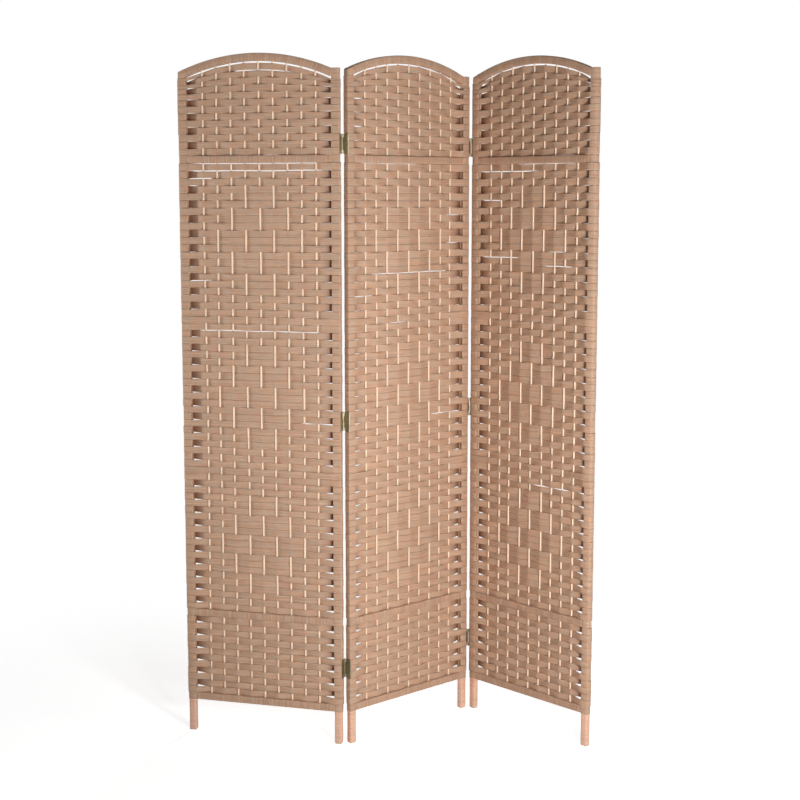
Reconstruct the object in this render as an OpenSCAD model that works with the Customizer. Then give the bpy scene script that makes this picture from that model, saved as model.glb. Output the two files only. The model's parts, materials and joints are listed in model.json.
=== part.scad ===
// Three-panel folding screen: arched wooden frames, woven with flat bands of paper cord over thin stakes.
// Each panel is drawn in its own frame: x across it from its left edge, y from its front to its back, z up.
// The panels stand as a zigzag, and two-way hinges with two pins join them at two lines.

/* [Panels] */
// Width of a panel over its wrapped posts
panel_w = 437; // [400:1:480]
// Height of the arch's highest point above the floor
panel_h = 1800; // [1650:5:1950]
// Height that the arch rises above the tops of the posts
arch_rise = 42; // [30:1:60]
// Distance from a panel's left edge to where the arch's outside starts on the left post
arch_start = 5; // [2:1:12]
// Height of the free feet under the bottom rail
foot_h = 86.5; // [60:0.5:110]
// Height of the lower weave, between the two lower rails
lower_weave_h = 212.5; // [180:0.5:240]
// Height of the top weave at its middle, between the upper rail and the arch
top_weave_h = 236; // [210:1:270]

/* [Fold] */
// Turn of the middle panel, its right end towards the back
middle_turn = 43.1; // [0:0.1:60]
// Fold at the left hinge line, from straight towards the back
left_fold = 58.7; // [0:0.1:110]
// Fold at the right hinge line, from straight towards the front
right_fold = 90.7; // [0:0.1:110]

/* [Frame] */
// Width of a post's wood, across the panel
post_w = 18.6; // [16:0.2:22]
// Thickness of the wood of posts, rails and arch, from front to back
wood_t = 14.4; // [13:0.2:17]
// Height of a rail's wood
rail_h = 17.8; // [14:0.2:21]
// Depth of the arch's wood, along its radius
arch_d = 18.2; // [16:0.2:23]
// Radius of the dowels that hold the rails
dowel_r = 3; // [2.5:0.1:4]
// Depth of a dowel in a post
dowel_in_post = 12; // [9:0.5:13]
// Depth of a dowel in a rail
dowel_in_rail = 18; // [14:0.5:24]
// Chamfer along the edges of a post's wood
post_chamfer = 1.2; // [0.8:0.1:2]

/* [Cord] */
// Thickness of a woven band, and of its turns round the posts
cord_t = 1.8; // [1.4:0.1:2.4]
// Thickness of the fine cord wound on the rails and the arch
rail_cord_t = 1.2; // [0.8:0.1:1.6]
// Thickness of the cord wound round the feet
foot_cord_t = 0.8; // [0.6:0.1:1.2]
// Height of the bare wood at the tip of a foot
foot_tip = 2.5; // [1:0.5:6]
// Open gap between one woven row and the next
row_gap = 0.5; // [0.3:0.1:1]
// Share by which the top rows of the middle weave are taller than its mean row
row_slack = 0.05; // [0:0.01:0.08]
// Open gap between the top row and the arch
arch_gap = 4; // [1:0.5:6]

/* [Stakes] */
// Width of a stake
stake_w = 6; // [5:0.2:8]
// Thickness of a stake
stake_t = 4; // [3:0.2:4.6]
// Distance from one stake to the next
stake_pitch = 38.5; // [36:0.5:41]
// Depth of a stake's end in the bottom rail and in the arch
stake_seat = 8; // [5:0.5:10]
// Chamfer along a stake's edges
stake_chamfer = 1; // [0.6:0.1:1.4]
// Height of a hidden lath behind the middle weave
lath_h = 12; // [8:0.5:14]
// Length of a lath's end let into a post
lath_in_post = 8; // [5:0.5:12]

/* [Hinges] */
// Row of the lower weave that the bottom hinge's middle lies on, from the weave's top
bottom_hinge_row = 7; // [3:1:10]
// Row of the middle weave that the middle hinge's middle lies on, from the weave's top
middle_hinge_row = 36; // [20:1:50]
// Row of the top weave that the top hinge's middle lies on, from the weave's bottom
top_hinge_row = 2; // [2:1:4]
// Height of a hinge
hinge_h = 50; // [44:1:60]
// Height of the link between a hinge's two pins
link_h = 32; // [24:1:36]
// Radius of a hinge pin
pin_r = 1; // [0.8:0.05:1.3]
// Wall of the rolled knuckles
knuckle_wall = 1.05; // [0.9:0.05:1.4]
// Gap between a link and each leaf that closes on it
link_slack = 0.15; // [0.1:0.05:0.3]
// Distance between a screw and the next along a leaf
screw_pitch = 18; // [14:0.5:20]
// Radius of a screw's shank
screw_r = 1.3; // [1:0.1:1.6]
// Radius of a screw's head
screw_head_r = 2.35; // [2:0.05:2.8]
// Length of a screw
screw_len = 13; // [10:0.5:16]

/* [Hidden] */
PANELS = ["left", "middle", "right"];
PANEL_PIECES = [
    "left_post", "right_post", "arch", "upper_rail", "lower_rail", "bottom_rail", "laths", "stakes",
    "top_weave", "middle_weave", "lower_weave", "rail_windings", "arch_winding", "post_windings", "dowels",
];
LINES = ["left", "right"];
HINGE_PIECES = [
    "middle_leaves", "outer_leaves", "links", "front_pins", "back_pins", "middle_screws", "outer_screws",
];
NODES = concat(
    [for (panel = PANELS, piece = PANEL_PIECES) str(panel, "_panel_", piece)],
    [for (line = LINES, piece = HINGE_PIECES) str(line, "_line_", piece)]
);
node = "all";

// Colours of the materials
wood_colour = [0.87, 0.72, 0.53];
stake_colour = [0.95, 0.84, 0.68];
band_colour = [0.77, 0.63, 0.52];
winding_colour = [0.74, 0.61, 0.51];
brass_colour = [0.78, 0.70, 0.45];
steel_colour = [0.62, 0.60, 0.55];

// Clearance between pieces that seat on each other
seat = 0.05;
// Running clearance of a pin in a knuckle, on the radius
pin_clear = 0.05;
// Clearance between a knuckle and the plane of a panel's face
knuckle_stand = 0.2;
// Height of a gap between a knuckle of a leaf and one of a link
knuckle_gap = 0.2;
// Length by which a cutting shape runs past what it cuts
past = 1;
// Straight rim of a screw hole under its countersink
screw_rim = 0.1;
// Wood left between an arch's dowel and the arch's inner side
dowel_cover = 1;
// Sides of a drawn circle, of one in the wide arc of the arch, and of a hole that parts a band
$fn = 48;
arch_sides = 360;
band_hole_sides = 6;

// Rows of the three weaves, which the pattern fixes
top_rows = 13;
middle_rows = 65;
lower_rows = 12;
// Rows at the bottom of the top weave that stay level
level_rows = 7;
// Rows of the middle weave with a lath behind them
lath_rows = [22, 44];
// Stakes in a panel, and the one in the middle
stakes = 9;
middle_stake = 5;
// First row of each diamond, the rows in one step of it, and the stakes that each step shows
diamond_starts = [4, 26, 48];
step_rows = 3;
diamond_steps = [2, 3, 4, 3, 2];

panel_t = wood_t + 2 * cord_t;
ring_w = post_w + 2 * cord_t;
post_in = cord_t + post_w;
rail_wound_h = rail_h + 2 * rail_cord_t;
arch_wound_d = arch_d + 2 * rail_cord_t;
post_top = panel_h - arch_rise;

bottom_rail_z = foot_h;
lower_rail_z = bottom_rail_z + rail_wound_h + lower_weave_h;
upper_rail_z = panel_h - arch_wound_d - top_weave_h - rail_wound_h;
rail_places = [bottom_rail_z, lower_rail_z, upper_rail_z];
middle_weave_z = lower_rail_z + rail_wound_h;
lower_pitch = lower_weave_h / lower_rows;
top_weave_z = upper_rail_z + rail_wound_h;
top_pitch = (top_weave_h - arch_gap) / top_rows;

// Height of the lower edge of a row of the middle weave. The rows lie looser towards the top.
function middle_edge(row) =
    let (share = row / middle_rows)
    upper_rail_z - (upper_rail_z - middle_weave_z) * (share + row_slack * share * (1 - share));

// The arch's outside is an arc that starts on the left post's top and ends at the right post's inner side
arch_half = (panel_w - ring_w - arch_start) / 2;
arch_mid = arch_start + arch_half;
arch_r = (pow(arch_half, 2) + pow(arch_rise, 2)) / (2 * arch_rise);
arch_z = panel_h - arch_r;

// The bands swing from one side of the stakes to the other, and stay clear of the stakes' edges
first_run = panel_w / 2 - (middle_stake - 1) * stake_pitch - ring_w;
stake_flat = stake_w / 2 - stake_chamfer;
edge_gap = (stake_flat * (panel_t + stake_t) / 2 / first_run + seat) / (1 - stake_flat / first_run);
inner_gap = (stake_flat * (stake_t + cord_t) / stake_pitch + seat) / (1 - 2 * stake_flat / stake_pitch);
swing = stake_t / 2 + max(edge_gap, inner_gap) + cord_t / 2;
lath_y = panel_t / 2 + swing + cord_t / 2 + seat;
lath_t = cord_t + wood_t - lath_y;

knuckle_r = pin_r + pin_clear + knuckle_wall;
half_gap = knuckle_r + seat;
leaf_in = pin_r + pin_clear;
leaf_t = half_gap - leaf_in;
link_t = 2 * (leaf_in - link_slack);
pin_out = knuckle_r + knuckle_stand;
hinge_places = [
    lower_rail_z - (bottom_hinge_row - 0.5) * lower_pitch,
    (middle_edge(middle_hinge_row - 1) + middle_edge(middle_hinge_row)) / 2,
    top_weave_z + (top_hinge_row - 0.5) * top_pitch,
];
screw_steps = [-1, 0, 1];
leaf_margin = 0.5;
countersink = leaf_t - screw_rim;
band_hole_r = (screw_r + seat) / cos(180 / band_hole_sides);

// A layer laid round a chamfered edge has a wider chamfer than the wood
function layer_chamfer(layer) = post_chamfer + layer * (2 - sqrt(2));

// Where the panels stand: the middle one first, and the outer ones on the pins that their folds turn about
turns = [middle_turn - left_fold, middle_turn, middle_turn - right_fold];
function turned(p, angle) = [p.x * cos(angle) - p.y * sin(angle), p.x * sin(angle) + p.y * cos(angle)];
back_pin = panel_t + pin_out;
places = [
    turned([-half_gap, back_pin], turns[1]) - turned([panel_w + half_gap, back_pin], turns[0]),
    [0, 0],
    turned([panel_w + half_gap, -pin_out], turns[1]) - turned([-half_gap, -pin_out], turns[2]),
];
corners = [
    for (panel = [0 : 2], x = [0, panel_w], y = [0, panel_t]) places[panel] + turned([x, y], turns[panel])
];
centre = [
    (min([for (c = corners) c.x]) + max([for (c = corners) c.x])) / 2,
    (min([for (c = corners) c.y]) + max([for (c = corners) c.y])) / 2,
];

// Which edges of a panel carry hinges
hinged_left = [false, true, true];
hinged_right = [true, true, false];

module placed(panel) {
    place = places[panel] - centre;
    translate([place.x, place.y, 0]) rotate([0, 0, turns[panel]]) children();
}

function stake_x(stake) = panel_w / 2 + (stake - middle_stake) * stake_pitch;

// Height of the arch's curve of the radius r at x
function arc_height(x, r) = arch_z + sqrt(pow(r, 2) - pow(x - arch_mid, 2));

// Plan of a box with chamfered corners
function chamfered(x0, y0, x1, y1, c) = [
    [x0 + c, y0], [x1 - c, y0], [x1, y0 + c], [x1, y1 - c],
    [x1 - c, y1], [x0 + c, y1], [x0, y1 - c], [x0, y0 + c],
];

// Does this stake show in front of the band, in plain weave and in the diamonds of the middle weave?
function plain_shows(stake, row) = (stake + row) % 2 == 0;
function diamond_step(row) = [
    for (start = diamond_starts, step = [0 : len(diamond_steps) - 1])
        if (floor((row - start) / step_rows) == step) diamond_steps[step]
];
function middle_shows(stake, row) =
    let (found = diamond_step(row), off = abs(stake - middle_stake))
    len(found) > 0 && off < found[0] ? (off + found[0]) % 2 == 1 : plain_shows(stake, row);

// Plan of one woven row: a band that swings past the stakes, with its ends laid round both posts.
// It passes the posts in front or behind, and its ends come round their outer edges to the other face.
// shows[i] says that stake i + 1 lies in front of the band.
function band_half(from_front, shows, side) = [
    for (i = [0 : stakes - 1])
        let (behind = shows[i] == from_front ? 1 : -1)
        [stake_x(i + 1), panel_t / 2 + behind * swing + side * cord_t / 2]
];
function reversed(list) = [for (i = [len(list) - 1 : -1 : 0]) list[i]];
function band_plan(from_front, shows) =
    let (
        c = layer_chamfer(cord_t),
        w = panel_w,
        t = panel_t,
        wall = cord_t - seat,
        outline = concat(
            [[ring_w, t - wall], [ring_w, t], [c, t], [0, t - c], [0, c], [c, 0], [ring_w, 0]],
            band_half(from_front, shows, -1),
            [[w - ring_w, 0], [w - c, 0], [w, c], [w, t - c], [w - c, t], [w - ring_w, t]],
            [[w - ring_w, t - wall], [w - wall, t - wall], [w - wall, wall], [w - ring_w, wall]],
            reversed(band_half(from_front, shows, 1)),
            [[ring_w, wall], [wall, wall], [wall, t - wall]]
        )
    )
    [for (p = outline) [p.x, from_front ? p.y : panel_t - p.y]];

module band(from_front, shows, height) {
    linear_extrude(height) polygon(band_plan(from_front, shows));
}

module band_hole(x, z) {
    translate([x, panel_t / 2, z]) rotate([0, 90, 0])
        cylinder(r = band_hole_r, h = cord_t + 2 * past, $fn = band_hole_sides);
}

// Parts the cord between two heights for the hinge screws that pass there
module part_for_screws(panel, low, high) {
    difference() {
        children();
        for (hinge_z = hinge_places, step = screw_steps) {
            z = hinge_z + step * screw_pitch;
            if (z > low - band_hole_r && z < high + band_hole_r) {
                if (hinged_left[panel]) band_hole(-past, z);
                if (hinged_right[panel]) band_hole(panel_w - cord_t - past, z);
            }
        }
    }
}

module level_row(panel, low, high, from_front, shows) {
    part_for_screws(panel, low, high) translate([0, 0, low]) band(from_front, shows, high - low);
}

// Middle weave: plain weave with three diamonds, counted from its top row down
module middle_weave(panel) {
    color(band_colour)
    for (row = [1 : middle_rows]) {
        low = middle_edge(row) + row_gap / 2;
        high = middle_edge(row - 1) - row_gap / 2;
        shows = [for (stake = [1 : stakes]) middle_shows(stake, row)];
        backed = len([for (r = lath_rows) if (r == row) r]) > 0;
        level_row(panel, low, high, backed || row % 2 == 1, shows);
    }
}

module lower_weave(panel) {
    color(band_colour)
    for (row = [1 : lower_rows]) {
        low = lower_rail_z - row * lower_pitch + row_gap / 2;
        shows = [for (stake = [1 : stakes]) plain_shows(stake, row + 1)];
        level_row(panel, low, low + lower_pitch - row_gap, row % 2 == 0, shows);
    }
}

// Top weave: rows from the upper rail up, level at first, then bending down more and more towards the posts
function bend(row) = pow(max(0, row - level_rows) / (top_rows - level_rows), 2);
function arch_drop(x) =
    let (inside = arch_r - arch_wound_d, in_x = min(max(x, ring_w), panel_w - ring_w))
    arc_height(arch_mid, inside) - arc_height(in_x, inside);
function row_edge(row, x) = top_weave_z + row * top_pitch - bend(row) * arch_drop(x);
row_stations = concat(
    [-past, ring_w], [for (stake = [1 : stakes]) stake_x(stake)], [panel_w - ring_w, panel_w + past]
);

module bent_row(panel, row, shows) {
    low = row_edge(row - 1, panel_w) + row_gap / 2;
    high = row_edge(row, arch_mid) - row_gap / 2;
    outline = concat(
        [for (x = row_stations) [x, row_edge(row - 1, x) + row_gap / 2]],
        [for (x = reversed(row_stations)) [x, row_edge(row, x) - row_gap / 2]]
    );
    part_for_screws(panel, low, row_edge(row, 0))
    intersection() {
        translate([0, 0, low - past]) band(row % 2 == 1, shows, high - low + 2 * past);
        translate([0, panel_t + past, 0]) rotate([90, 0, 0]) linear_extrude(panel_t + 2 * past) polygon(outline);
    }
}

module top_weave(panel) {
    color(band_colour)
    for (row = [1 : top_rows]) {
        shows = [for (stake = [1 : stakes]) plain_shows(stake, row)];
        if (row <= level_rows) {
            low = top_weave_z + (row - 1) * top_pitch + row_gap / 2;
            level_row(panel, low, low + top_pitch - row_gap, row % 2 == 1, shows);
        } else {
            bent_row(panel, row, shows);
        }
    }
}

// Stakes: one long octagonal stick each, from the bottom rail through the rails to the arch
function stake_top(stake) = arc_height(stake_x(stake), arch_r - rail_cord_t - arch_d) + stake_seat;
stake_low = bottom_rail_z + rail_cord_t + rail_h - stake_seat;

module stake_set() {
    color(stake_colour)
    for (stake = [1 : stakes])
        translate([stake_x(stake), panel_t / 2, stake_low]) linear_extrude(stake_top(stake) - stake_low)
            polygon(chamfered(-stake_w / 2, -stake_t / 2, stake_w / 2, stake_t / 2, stake_chamfer));
}

module stake_slot(stake, low, high) {
    translate([stake_x(stake) - stake_w / 2 - seat, panel_t / 2 - stake_t / 2 - seat, low])
        cube([stake_w + 2 * seat, stake_t + 2 * seat, high - low]);
}

module stake_slots(low, high) {
    for (stake = [1 : stakes]) stake_slot(stake, low, high);
}

// Hidden laths behind the middle weave, let into the backs of both posts
function lath_low(row) = (middle_edge(row - 1) + middle_edge(row) - lath_h) / 2;

module lath(row, extra) {
    translate([post_in - lath_in_post - extra, lath_y - extra, lath_low(row) - extra])
        cube([panel_w - 2 * (post_in - lath_in_post) + 2 * extra, lath_t + 2 * extra, lath_h + 2 * extra]);
}

module laths() {
    color(wood_colour) for (row = lath_rows) lath(row, 0);
}

// Dowels: in the middle of each rail's end, and low in each end of the arch
function arch_dowel_z(tip_x) = arc_height(tip_x, arch_r - rail_cord_t - arch_d) + dowel_r + dowel_cover;
arch_dowel_heights = [arch_dowel_z(ring_w + dowel_in_rail), arch_dowel_z(panel_w - ring_w - dowel_in_rail)];
rail_dowel_heights = [for (z = rail_places) z + rail_wound_h / 2];

// A dowel at the left post and one at the right post, at the two heights
module dowel_pair(heights, extra) {
    starts = [post_in - dowel_in_post - extra, panel_w - post_in - dowel_in_rail - extra];
    for (end = [0, 1])
        translate([starts[end], panel_t / 2, heights[end]]) rotate([0, 90, 0])
            cylinder(r = dowel_r + extra, h = dowel_in_post + dowel_in_rail + 2 * extra);
}

module all_dowels(extra) {
    for (z = rail_dowel_heights) dowel_pair([z, z], extra);
    dowel_pair(arch_dowel_heights, extra);
}

// Posts: chamfered bars of wood, with a chamfered tip to each foot.
// The right post's top is level, and the left post's top slopes with the arch.
function post_end(x, layer) = x > panel_w / 2 ? post_top : arc_height(x, arch_r - layer);

module post_bar(x0) {
    tip = post_chamfer;
    x1 = x0 + post_w;
    intersection() {
        linear_extrude(panel_h) polygon(chamfered(x0, cord_t, x1, panel_t - cord_t, post_chamfer));
        translate([0, panel_t + past, 0]) rotate([90, 0, 0]) linear_extrude(panel_t + 2 * past)
            polygon([
                [x0 + tip, 0], [x1 - tip, 0], [x1 + past, tip + past],
                [x1 + past, post_end(x1 + past, rail_cord_t)], [x0 - past, post_end(x0 - past, rail_cord_t)],
                [x0 - past, tip + past],
            ]);
    }
}

module screw_bores(panel) {
    bore = screw_r + seat;
    depth = leaf_in + screw_len - half_gap + seat;
    for (hinge_z = hinge_places, step = screw_steps) {
        z = hinge_z + step * screw_pitch;
        if (hinged_left[panel])
            translate([0, panel_t / 2, z]) rotate([0, 90, 0]) cylinder(r = bore, h = depth);
        if (hinged_right[panel])
            translate([panel_w - depth, panel_t / 2, z]) rotate([0, 90, 0]) cylinder(r = bore, h = depth);
    }
}

module post(panel, x0) {
    color(wood_colour)
    difference() {
        post_bar(x0);
        all_dowels(seat);
        for (row = lath_rows) lath(row, seat);
        screw_bores(panel);
    }
}

// Rails: bars between the posts, slotted for the stakes
module rail(z, slot_from) {
    color(wood_colour)
    difference() {
        translate([post_in + seat, cord_t, z + rail_cord_t])
            cube([panel_w - 2 * (post_in + seat), wood_t, rail_h]);
        all_dowels(seat);
        stake_slots(slot_from, z + rail_wound_h + past);
    }
}

// Fine cord wound round the rails, drawn as one layer on each
module rail_windings() {
    color(winding_colour)
    for (z = rail_places) {
        slot_low = z == bottom_rail_z ? z + rail_wound_h / 2 : z - past;
        difference() {
            translate([ring_w + seat, cord_t - rail_cord_t, z + seat])
                cube([panel_w - 2 * (ring_w + seat), wood_t + 2 * rail_cord_t, rail_wound_h - 2 * seat]);
            translate([ring_w - past, cord_t - seat, z + rail_cord_t - seat])
                cube([panel_w - 2 * (ring_w - past), wood_t + 2 * seat, rail_h + 2 * seat]);
            stake_slots(slot_low, z + rail_wound_h + past);
        }
    }
}

// Arch: a curved bar between the posts, with blind slots for the stakes
module arch_sector(outer, inner, end, low_y, high_y) {
    translate([0, high_y, 0]) rotate([90, 0, 0]) linear_extrude(high_y - low_y)
        intersection() {
            translate([arch_mid, arch_z]) difference() {
                circle(r = outer, $fn = arch_sides);
                circle(r = inner, $fn = arch_sides);
            }
            translate([end, arch_z]) square([panel_w - 2 * end, arch_r + past]);
        }
}

module arch_bar(extra, end) {
    outer = arch_r - rail_cord_t;
    arch_sector(outer + extra, outer - arch_d - extra, end, cord_t - extra, panel_t - cord_t + extra);
}

module arch() {
    color(wood_colour)
    difference() {
        arch_bar(0, post_in + seat);
        all_dowels(seat);
        for (stake = [1 : stakes]) stake_slot(stake, post_top - arch_rise, stake_top(stake) + seat);
    }
}

module arch_winding() {
    low_y = cord_t - rail_cord_t;
    color(winding_colour)
    difference() {
        arch_sector(arch_r, arch_r - arch_wound_d, ring_w + seat, low_y, panel_t - low_y);
        arch_bar(seat, ring_w - past);
        stake_slots(post_top - arch_rise, panel_h - arch_wound_d / 2);
    }
}

// Cord wound round the posts past the weaves: thin on the feet, full beside the rails and under the tops.
// Full collars are open towards the rail or the arch that meets the post there.
module layer_plan(x0, layer) {
    y0 = cord_t - layer;
    polygon(chamfered(x0 - layer, y0, x0 + post_w + layer, panel_t - y0, layer_chamfer(layer)));
}

module foot_winding(x0) {
    translate([0, 0, foot_tip]) linear_extrude(foot_h - row_gap / 2 - foot_tip) difference() {
        layer_plan(x0, foot_cord_t);
        layer_plan(x0, seat);
    }
}

module open_collar(right, low, high) {
    c = layer_chamfer(cord_t);
    t = panel_t;
    wall = cord_t - seat;
    translate([right ? panel_w : 0, 0, low]) scale([right ? -1 : 1, 1, 1]) linear_extrude(high - low)
        polygon([
            [ring_w, t - wall], [ring_w, t], [c, t], [0, t - c], [0, c], [c, 0], [ring_w, 0],
            [ring_w, wall], [wall, wall], [wall, t - wall],
        ]);
}

module top_collar(right) {
    edge = right ? panel_w - ring_w : 0;
    low = row_edge(top_rows, edge) + row_gap / 2;
    x0 = edge - past;
    x1 = edge + ring_w + past;
    intersection() {
        open_collar(right, low, panel_h);
        translate([0, panel_t + past, 0]) rotate([90, 0, 0]) linear_extrude(panel_t + 2 * past)
            polygon([[x0, low - past], [x1, low - past], [x1, post_end(x1, 0)], [x0, post_end(x0, 0)]]);
    }
}

module post_windings(panel) {
    color(winding_colour) {
        for (x0 = [cord_t, panel_w - post_in]) foot_winding(x0);
        for (right = [false, true]) {
            for (z = rail_places)
                part_for_screws(panel, z, z + rail_wound_h)
                open_collar(right, z + seat, z + rail_wound_h - seat);
            top_collar(right);
        }
    }
}

// Hinges are drawn on their line: x from the line's middle, with the leaf's panel on the side of +x.
// A leaf drawn this way turns about the front pin, and is mirrored for the other side or the back pin.
module on_line(panel, left_edge) {
    placed(panel) translate([left_edge ? -half_gap : panel_w + half_gap, 0, 0]) children();
}

module facing(panel_on_right, at_front) {
    translate([0, panel_t / 2, 0])
        scale([panel_on_right ? 1 : -1, at_front ? 1 : -1, 1])
            translate([0, -panel_t / 2, 0]) children();
}

knuckle_h = (hinge_h - link_h) / 2 - knuckle_gap;

module leaf_plate() {
    translate([leaf_in, leaf_margin, -hinge_h / 2]) cube([leaf_t, panel_t - 2 * leaf_margin, hinge_h]);
    for (z = [-hinge_h / 2, hinge_h / 2 - knuckle_h]) {
        translate([0, -pin_out, z]) cylinder(r = knuckle_r, h = knuckle_h);
        translate([leaf_in, -pin_out, z]) cube([leaf_t, pin_out + leaf_margin + past, knuckle_h]);
    }
}

module leaf() {
    difference() {
        leaf_plate();
        translate([0, -pin_out, -hinge_h / 2 - past]) cylinder(r = pin_r + pin_clear, h = hinge_h + 2 * past);
        for (step = screw_steps)
            translate([leaf_in, panel_t / 2, step * screw_pitch]) rotate([0, 90, 0]) {
                cylinder(r1 = screw_head_r + 2 * seat, r2 = screw_r + 2 * seat, h = countersink);
                cylinder(r = screw_r + 2 * seat, h = leaf_t + past);
            }
    }
}

module screw() {
    translate([leaf_in + seat, 0, 0]) rotate([0, 90, 0]) {
        cylinder(r1 = screw_head_r, r2 = screw_r, h = countersink);
        cylinder(r = screw_r, h = screw_len - seat);
    }
}

module leaves(panel, left_edge, at_front) {
    color(brass_colour)
    on_line(panel, left_edge)
        for (z = hinge_places) translate([0, 0, z]) facing(left_edge, at_front) leaf();
}

module screws(panel, left_edge) {
    color(steel_colour)
    on_line(panel, left_edge)
        for (z = hinge_places, step = screw_steps)
            translate([0, panel_t / 2, z + step * screw_pitch]) scale([left_edge ? 1 : -1, 1, 1]) screw();
}

// A link closes on the middle panel's leaf at rest, with a knuckle at each pin
module links(left_line) {
    color(brass_colour)
    on_line(1, left_line)
        for (z = hinge_places) translate([0, 0, z - link_h / 2]) difference() {
            union() {
                for (y = [-pin_out, back_pin]) translate([0, y, 0]) cylinder(r = knuckle_r, h = link_h);
                translate([-link_t / 2, -pin_out, 0]) cube([link_t, back_pin + pin_out, link_h]);
            }
            for (y = [-pin_out, back_pin]) translate([0, y, -past])
                cylinder(r = pin_r + pin_clear, h = link_h + 2 * past);
        }
}

module pins(left_line, y) {
    color(steel_colour)
    on_line(1, left_line)
        for (z = hinge_places) translate([0, y, z - hinge_h / 2]) cylinder(r = pin_r, h = hinge_h);
}

function drawn(name) = node == "all" || node == name;

for (panel = [0 : 2]) {
    name = str(PANELS[panel], "_panel_");
    if (drawn(str(name, "left_post"))) placed(panel) post(panel, cord_t);
    if (drawn(str(name, "right_post"))) placed(panel) post(panel, panel_w - post_in);
    if (drawn(str(name, "arch"))) placed(panel) arch();
    if (drawn(str(name, "upper_rail"))) placed(panel) rail(upper_rail_z, upper_rail_z - past);
    if (drawn(str(name, "lower_rail"))) placed(panel) rail(lower_rail_z, lower_rail_z - past);
    if (drawn(str(name, "bottom_rail"))) placed(panel) rail(bottom_rail_z, stake_low - seat);
    if (drawn(str(name, "laths"))) placed(panel) laths();
    if (drawn(str(name, "stakes"))) placed(panel) stake_set();
    if (drawn(str(name, "top_weave"))) placed(panel) top_weave(panel);
    if (drawn(str(name, "middle_weave"))) placed(panel) middle_weave(panel);
    if (drawn(str(name, "lower_weave"))) placed(panel) lower_weave(panel);
    if (drawn(str(name, "rail_windings"))) placed(panel) rail_windings();
    if (drawn(str(name, "arch_winding"))) placed(panel) arch_winding();
    if (drawn(str(name, "post_windings"))) placed(panel) post_windings(panel);
    if (drawn(str(name, "dowels"))) placed(panel) color(wood_colour) all_dowels(0);
}

if (drawn("left_line_middle_leaves")) leaves(1, true, true);
if (drawn("left_line_outer_leaves")) leaves(0, false, false);
if (drawn("left_line_links")) links(true);
if (drawn("left_line_front_pins")) pins(true, -pin_out);
if (drawn("left_line_back_pins")) pins(true, back_pin);
if (drawn("left_line_middle_screws")) screws(1, true);
if (drawn("left_line_outer_screws")) screws(0, false);
if (drawn("right_line_middle_leaves")) leaves(1, false, false);
if (drawn("right_line_outer_leaves")) leaves(2, true, true);
if (drawn("right_line_links")) links(false);
if (drawn("right_line_front_pins")) pins(false, -pin_out);
if (drawn("right_line_back_pins")) pins(false, back_pin);
if (drawn("right_line_middle_screws")) screws(1, false);
if (drawn("right_line_outer_screws")) screws(2, true);
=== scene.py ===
"""Looks for a three-panel folding screen of arched frames woven with paper cord, around its CAD frame."""
import json
import math

import bmesh
import bpy
import numpy as np
from bpy.props import FloatProperty, FloatVectorProperty, IntProperty, PointerProperty
from mathutils import Matrix, Vector


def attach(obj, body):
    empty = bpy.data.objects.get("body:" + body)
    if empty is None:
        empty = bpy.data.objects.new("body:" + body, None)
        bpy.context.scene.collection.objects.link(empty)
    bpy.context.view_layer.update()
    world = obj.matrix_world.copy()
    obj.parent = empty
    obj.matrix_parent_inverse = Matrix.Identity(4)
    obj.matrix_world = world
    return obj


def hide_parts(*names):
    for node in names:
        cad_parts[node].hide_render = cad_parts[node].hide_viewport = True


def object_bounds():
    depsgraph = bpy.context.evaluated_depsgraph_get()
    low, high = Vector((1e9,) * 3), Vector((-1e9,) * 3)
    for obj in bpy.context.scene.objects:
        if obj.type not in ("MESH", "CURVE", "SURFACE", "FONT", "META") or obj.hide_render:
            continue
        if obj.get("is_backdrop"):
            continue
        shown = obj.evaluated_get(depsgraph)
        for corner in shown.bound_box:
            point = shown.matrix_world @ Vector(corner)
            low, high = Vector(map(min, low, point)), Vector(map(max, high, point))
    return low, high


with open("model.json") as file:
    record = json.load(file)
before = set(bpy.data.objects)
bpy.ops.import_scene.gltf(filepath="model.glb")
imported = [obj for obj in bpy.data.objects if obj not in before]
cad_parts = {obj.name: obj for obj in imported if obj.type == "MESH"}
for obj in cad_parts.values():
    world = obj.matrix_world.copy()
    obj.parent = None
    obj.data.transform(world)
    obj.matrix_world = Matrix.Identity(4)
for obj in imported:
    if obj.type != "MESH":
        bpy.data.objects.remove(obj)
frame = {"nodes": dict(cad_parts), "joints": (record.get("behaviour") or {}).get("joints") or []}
cad_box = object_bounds()

bl_info = {
    "name": "Woven Folding Screen",
    "version": (1, 0, 0),
    "blender": (4, 5, 0),
    "location": "3D View > Sidebar > Screen",
    "description": "Woven bands, cord windings, stakes, finishes and stage for a folding screen",
    "category": "Object",
}

NUMBER, VECTOR = "NodeSocketFloat", "NodeSocketVector"
MM = 0.001
PANELS = ["left", "middle", "right"]
TOP_ROWS = 13
MIDDLE_ROWS = 65
LOWER_ROWS = 12
LEVEL_ROWS = 7
STAKES = 9
MIDDLE_STAKE = 5
LATH_ROWS = (22, 44)
DIAMOND_STARTS = (4, 26, 48)
DIAMOND_STEPS = (2, 3, 4, 3, 2)
STEP_ROWS = 3
CORDS = 4
PARTS = {"top": TOP_ROWS, "middle": MIDDLE_ROWS, "lower": LOWER_ROWS}

# Stakes bow less in spans shorter than this, and the sum of their waves is divided by the height
FULL_BOW_SPAN = 0.6
BOW_WAVES = 3
BOW_HEIGHT = 1.6

# Waves of the edges between rows, and of each row's own edges: how many there are,
# how far a wave's own height shifts it, and the height that their sum is divided by
WANDER = {"waves": 6, "shift": 7, "height": 2}
UNEVEN = {"waves": 5, "shift": 9, "height": 2.2}

# A band's section: share of its thickness at its edges and between its cords
EDGE_SHARE = 0.5
GROOVE_SHARE = 0.75

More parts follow.
